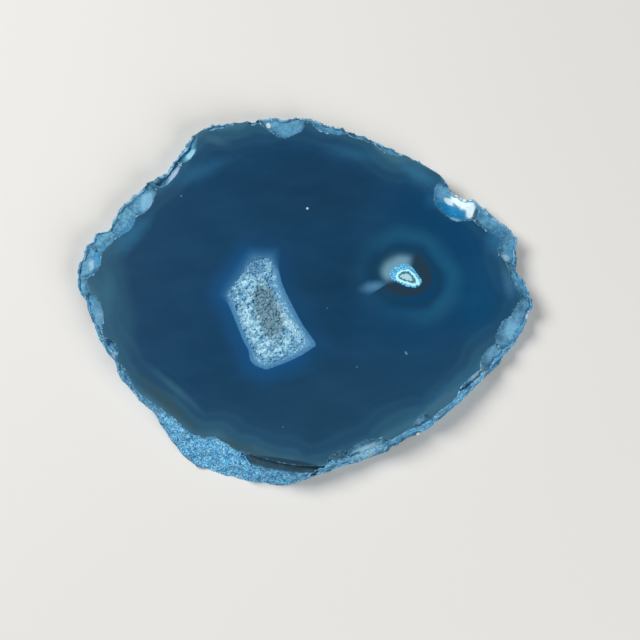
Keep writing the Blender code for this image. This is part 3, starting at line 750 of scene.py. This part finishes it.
# Each crystal follows the crust's slope a little, leans by chance, and has its tip near the face at
# the pocket's edge and lower further in.
mouth_tree = tree_of([spot for spot in border if spot.z > FLAT and is_at_pocket(spot)])
grown = []
for x, y in roots:
    above = Vector((x, y, 2.0 * THICKNESS / MM)) * MM
    root, normal, _, _ = crust_surface.ray_cast(above, Vector((0.0, 0.0, -1.0)))
    if root is None:
        root = Vector((x * MM, y * MM, THICKNESS - CRUST_RIM_DEPTH))
        normal = Vector((0.0, 0.0, 1.0))
    radius = chance.uniform(*CRYSTAL_RADIUS) * MM
    leaning = Vector((*chance.normal(0.0, CRYSTAL_LEAN, 2), 1.0)) + CRYSTAL_FOLLOW * normal
    turn = leaning.to_track_quat("Z", "Y").to_matrix().to_4x4()
    turn = turn @ Matrix.Rotation(chance.uniform(*CRYSTAL_TURN), 4, "Z")
    turn = turn @ Matrix.Diagonal((radius, radius, radius * chance.uniform(*CRYSTAL_STRETCH), 1.0))
    tip_rise = max((turn @ vert.co).z for vert in crystal.data.vertices)
    highest = THICKNESS - TIP_ROOM - tip_rise
    to_edge = mouth_tree.find((x * MM, y * MM, THICKNESS))[2]
    sunk = CRYSTAL_SINK * min(1.0, to_edge / EDGE_CRYSTALS) * (highest - root.z)
    root.z = highest - max(0.0, sunk)
    grown_mesh = crystal.data.copy()
    grown_mesh.transform(Matrix.Translation(root) @ turn)
    grown.append(bpy.data.objects.new("crystal", grown_mesh))
    bpy.context.scene.collection.objects.link(grown[-1])
bpy.ops.object.select_all(action="DESELECT")
for item in grown + [druse]:
    item.select_set(True)
bpy.context.view_layer.objects.active = druse
bpy.ops.object.join()
druse_mesh = druse.data
bpy.data.objects.remove(crystal)
places = np.array([vert.co for vert in druse_mesh.vertices])
add_distance(druse_mesh, "mouth", depth_inside(places[:, :2] / MM, POCKET_MOUTH))
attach(druse, "root")
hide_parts("quartz_druse")

# The crystals' colour: frosty, greyer along the middle of the pocket, bluer at its upper corner and
# at its mouth.
CRYSTAL_TINTS = (
    (-8.0, -4.4, 9.0, 3.9, -75.0, 0.4, 0.9, 0.8, "688b9b"),
    (-12.2, 8.3, 6.0, 4.5, -60.0, 0.9, 0.4, 0.9, "427ca6"),
    (-3.2, -6.2, 6.5, 2.0, -58.0, 0.8, 0.8, 0.85, "d6f4fa"),
    (-13.4, -6.5, 5.0, 1.8, -66.0, 0.8, 0.8, 0.5, "cdeef6"))

tree, shader = new_material("quartz", druse_mesh)
place = place_in_mm(tree)
tone = clouds(tree, place, 1.3, 4.0, 0.65)
colour = mixed(tree, ramp(tree, tone, 0.38, 0.62), rgb("5899be"), rgb("b2dcea"))
colour = painted(tree, flattened(tree, place), colour, CRYSTAL_TINTS)
from_mouth = stirred(tree, distance_of(tree, "mouth"), clouds(tree, place, 1.2, 3.0, 0.6), 3.0)
colour = mixed(tree, ramp(tree, from_mouth, 0.2, 1.5, 0.7, 0.0), colour, rgb("6ba6c8"))
feed(tree, shader.inputs, {"Base Color": colour, "Roughness": 0.45, "IOR": 1.544,
                           "Specular IOR Level": 0.35})


# The floor and the lights: a plain pale floor, a soft light from the upper left, a weaker one from
# the lower right, and a pale room all round.
FLOOR_SIZE = 3.0
FLOOR_GAP = 0.00005
FLOOR_COLOUR = "d9d7d3"
FLOOR_ROUGHNESS = 0.8
KEY_ENERGY = 6.2
KEY_SIZE = 0.45
KEY_PLACE = (-0.45, 0.25, 0.6)
FILL_ENERGY = 5.0
FILL_SIZE = 0.6
FILL_PLACE = (0.5, -0.5, 0.45)
ROOM_COLOUR = (1.0, 1.0, 1.0, 1.0)
ROOM_STRENGTH = 0.1

bpy.ops.object.select_all(action="DESELECT")
bpy.ops.mesh.primitive_plane_add(size=FLOOR_SIZE, location=(0.0, 0.0, -FLOOR_GAP))
floor = bpy.context.active_object
floor.name = "floor"
tree, shader = new_material("floor", floor.data)
feed(tree, shader.inputs, {"Base Color": rgb(FLOOR_COLOUR), "Roughness": FLOOR_ROUGHNESS})


def soft_light(name, energy, size, place):
    """A round soft light that shines on the middle of the floor."""
    light_data = bpy.data.lights.new(name, "AREA")
    light_data.energy = energy
    light_data.shape = "DISK"
    light_data.size = size
    light = bpy.data.objects.new(name, light_data)
    bpy.context.scene.collection.objects.link(light)
    light.location = place
    light.rotation_euler = light.location.to_track_quat("Z", "Y").to_euler()
    return light


key = soft_light("key light", KEY_ENERGY, KEY_SIZE, KEY_PLACE)
fill = soft_light("fill light", FILL_ENERGY, FILL_SIZE, FILL_PLACE)

world = bpy.data.worlds.new("room")
world.use_nodes = True
room = world.node_tree.nodes["Background"].inputs
room["Color"].default_value = ROOM_COLOUR
room["Strength"].default_value = ROOM_STRENGTH
bpy.context.scene.world = world
bpy.context.scene.view_settings.view_transform = "Standard"
